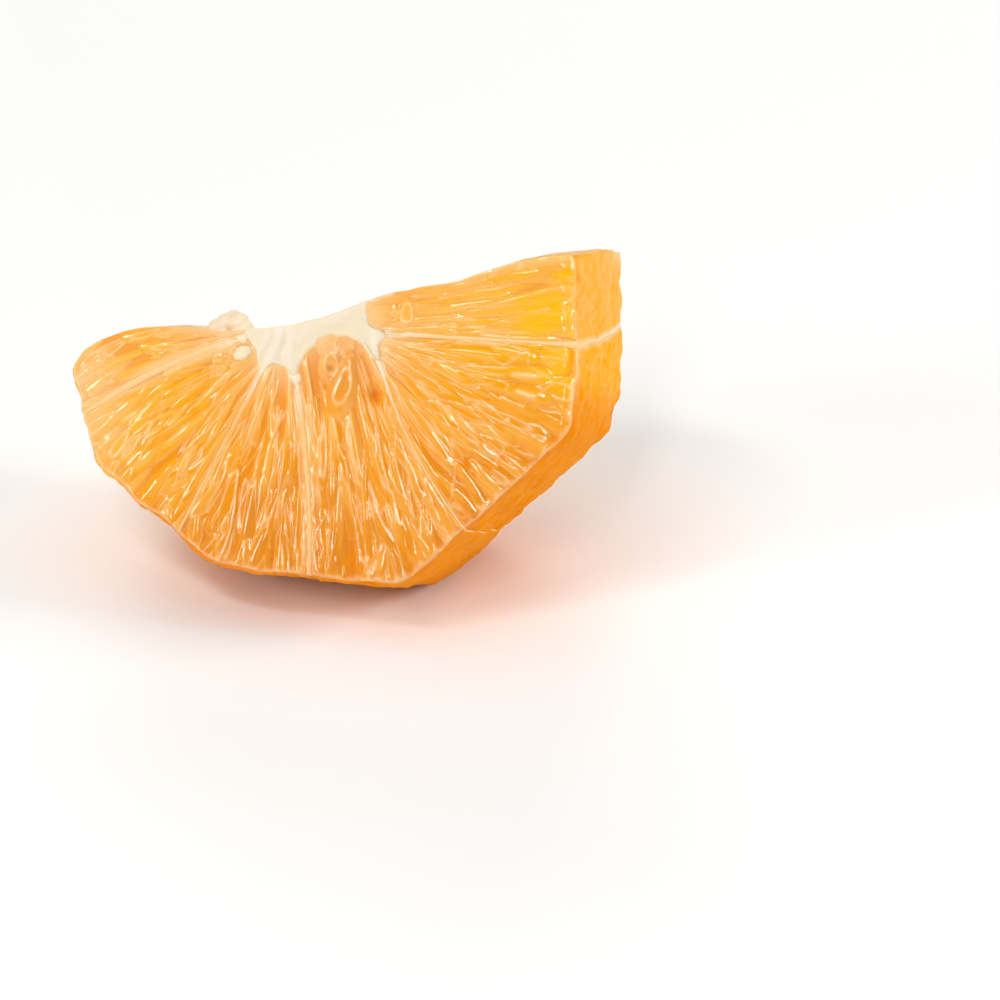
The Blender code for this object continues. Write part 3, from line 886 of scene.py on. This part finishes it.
# Painted shade: the hollows between the folds are darker and yellower.
colour = mixed(tree, kept(tree, "fold_shade") * 0.6, colour, (0.85, 0.71, 0.46))
colour = mixed(tree, kept(tree, "lap"), colour, (0.97, 0.68, 0.36))
feed(shader, {"Base Color": colour, "Roughness": 0.45 + sponge * 0.2, "Normal": bumpy(tree, 0.35, sponge)})
core = put_in_scene("core", mesh, pith_white)
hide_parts("pith")
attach(core, "root")

# ---- Pith tag ----
# A scrap of spongy white pith that stayed on top of the core's left end when it was cut. It is a clump of
# small rounded lumps, like a piece of cauliflower, that lies on the edge of the pulp.

# Each lump: where it is, and its radius.
LUMPS = (
    (-11.3, 0.5, 9.3, 0.75),
    (-11.9, 1.2, 8.6, 1.15),
    (-12.8, 2.2, 8.0, 1.45),
    (-14.6, 2.5, 7.8, 1.45),
    (-16.1, 2.1, 8.1, 1.3),
    (-17.0, 1.3, 8.4, 0.8),
    (-13.8, 2.9, 6.8, 1.3),
    (-15.0, 1.2, 8.9, 0.9),
    (-12.9, 0.9, 9.0, 0.9),
)


def ball(name, fineness):
    """A closed ball, and the way that each of its points lies from its middle."""
    made = bmesh.new()
    bmesh.ops.create_icosphere(made, subdivisions=fineness, radius=1.0)
    mesh, points = grid_of(made, name, 10**6)
    return mesh, points / np.linalg.norm(points, axis=1)[:, None]


mesh, heading = ball("tag", 6)
middle = np.array([-14.0, 1.6, 7.9])
reaches = []
for lump_x, lump_y, lump_z, radius in LUMPS:
    to_lump = np.array([lump_x, lump_y, lump_z]) - middle
    along = heading @ to_lump
    inside = radius**2 - to_lump @ to_lump + along**2
    reaches.append(np.where(inside > 0, along + np.sqrt(np.maximum(inside, 0)), 0.3))
reach = 0.2 * np.log(sum(np.exp(np.array(each) / 0.2) for each in reaches))
grain = 0.02 * np.sin(heading @ (23.0, 11.0, 7.0)) * np.sin(heading @ (-9.0, 19.0, 13.0))
lay_down(mesh, middle + heading * (reach + grain)[:, None])
keep_values(mesh, "fold_shade", np.zeros(len(heading)))
keep_values(mesh, "lap", np.full(len(heading), 0.35))
tag = put_in_scene("tag", mesh, pith_white)
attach(tag, "root")

# ---- Seed ----
# A small seed that never filled out, a flat and pale husk with a few wrinkles. It lies half sunk between the
# sacs beside the core, where the cut laid it bare.

mesh, heading = ball("seed", 5)
pinch = 1 - 0.35 * ease(0.2, 1.0, heading[:, 0])
wrinkle = 1 + 0.03 * np.sin(heading[:, 1] * 9 + heading[:, 0] * 2) + 0.02 * np.sin(heading[:, 0] * 11)
own = heading * np.stack([np.full(len(heading), 1.5), pinch, 0.9 * pinch], 1) * wrinkle[:, None]
turn = np.array(Matrix.Rotation(math.radians(14.0), 3, "Z"))
lay_down(mesh, own @ turn.T + (-12.5, -2.2, 9.75))
husk = {**milky(0.4, (1.0, 0.7, 0.4), 0.0006), "Coat Weight": 0.5}
seed_husk, tree, shader = new_material("seed_husk", husk)
marks = (speckle(tree, 700.0, 3.0) - 0.4) * 2.0
feed(shader, {"Base Color": mixed(tree, marks, (0.95, 0.80, 0.56), (0.93, 0.70, 0.42))})
seed = put_in_scene("seed_husk", mesh, seed_husk)
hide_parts("seed")
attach(seed, "root")

# ---- Table, light and camera ----
# A plain pale table, three soft lights in front and above, one at the right, two that only fill the shadows,
# and a camera that stands where the photograph's stood.

plane = bmesh.new()
bmesh.ops.create_grid(plane, x_segments=1, y_segments=1, size=3.0)
mesh = bpy.data.meshes.new("table")
plane.to_mesh(mesh)
plane.free()
pale_table = new_material("pale_table", {"Base Color": (0.92, 0.92, 0.91, 1.0), "Roughness": 0.7})[0]
put_in_scene("table", mesh, pale_table)

studio = bpy.data.worlds.new("studio")
studio.use_nodes = True
studio.node_tree.nodes["Background"].inputs["Color"].default_value = (1.0, 0.99, 0.97, 1.0)
studio.node_tree.nodes["Background"].inputs["Strength"].default_value = 0.13
bpy.context.scene.world = studio


def soft_light(name, place, across, tall, power):
    """A rectangle of light that faces the orange."""
    light = bpy.data.lights.new(name, "AREA")
    light.shape, light.size, light.size_y, light.energy = "RECTANGLE", across, tall, power
    lamp = bpy.data.objects.new(name, light)
    aim = Vector((0.0, 0.0, 0.03)) - Vector(place)
    lamp.matrix_world = Matrix.Translation(place) @ aim.to_track_quat("-Z", "Y").to_matrix().to_4x4()
    bpy.context.collection.objects.link(lamp)
    return lamp


soft_light("left_key", (-0.62, -0.70, 0.38), 0.13, 0.42, 2.4)
soft_light("front_key", (0.10, -0.78, 0.62), 0.13, 0.42, 2.4)
soft_light("top_key", (-0.20, -0.55, 0.82), 0.42, 0.13, 2.3)
soft_light("side_key", (0.85, 0.20, 0.38), 0.35, 0.35, 4.6)
# These two fill the shadows but make no sheen, as lights behind a wide cloth would.
soft_light("back_fill", (-0.35, 0.95, 0.40), 0.6, 0.6, 6.0).visible_glossy = False
soft_light("overhead", (0.0, 0.1, 1.1), 1.3, 1.3, 4.3).visible_glossy = False

bpy.context.scene.view_settings.view_transform = "Standard"
FACE_MIDDLE = LYING @ Vector((0, 0, FACE_Z * MM))
# How far the camera stands round to the right and looks down, in degrees, its focal length in pixels, and its
# distance in metres.
ROUND, DOWN = 15.5, 26.4
FOCAL_PIXELS, AWAY = 4368.0, 0.6
# The picture's width in pixels, and where the middle of the cut face stands in it.
PICTURE, FACE_AT = 1000, (325, 318)
camera_data = bpy.data.cameras.new("camera")
camera_data.lens = camera_data.sensor_width * FOCAL_PIXELS / PICTURE
camera = bpy.data.objects.new("camera", camera_data)
bpy.context.collection.objects.link(camera)
turn = Matrix.Rotation(math.radians(ROUND), 4, "Z") @ Matrix.Rotation(math.radians(90 - DOWN), 4, "X")
aside, above = (PICTURE / 2 - FACE_AT[0]) / FOCAL_PIXELS, (FACE_AT[1] - PICTURE / 2) / FOCAL_PIXELS
back_off = turn @ Vector((aside, above, 1.0)) * AWAY
camera.matrix_world = Matrix.Translation(FACE_MIDDLE + back_off) @ turn
bpy.context.scene.camera = camera
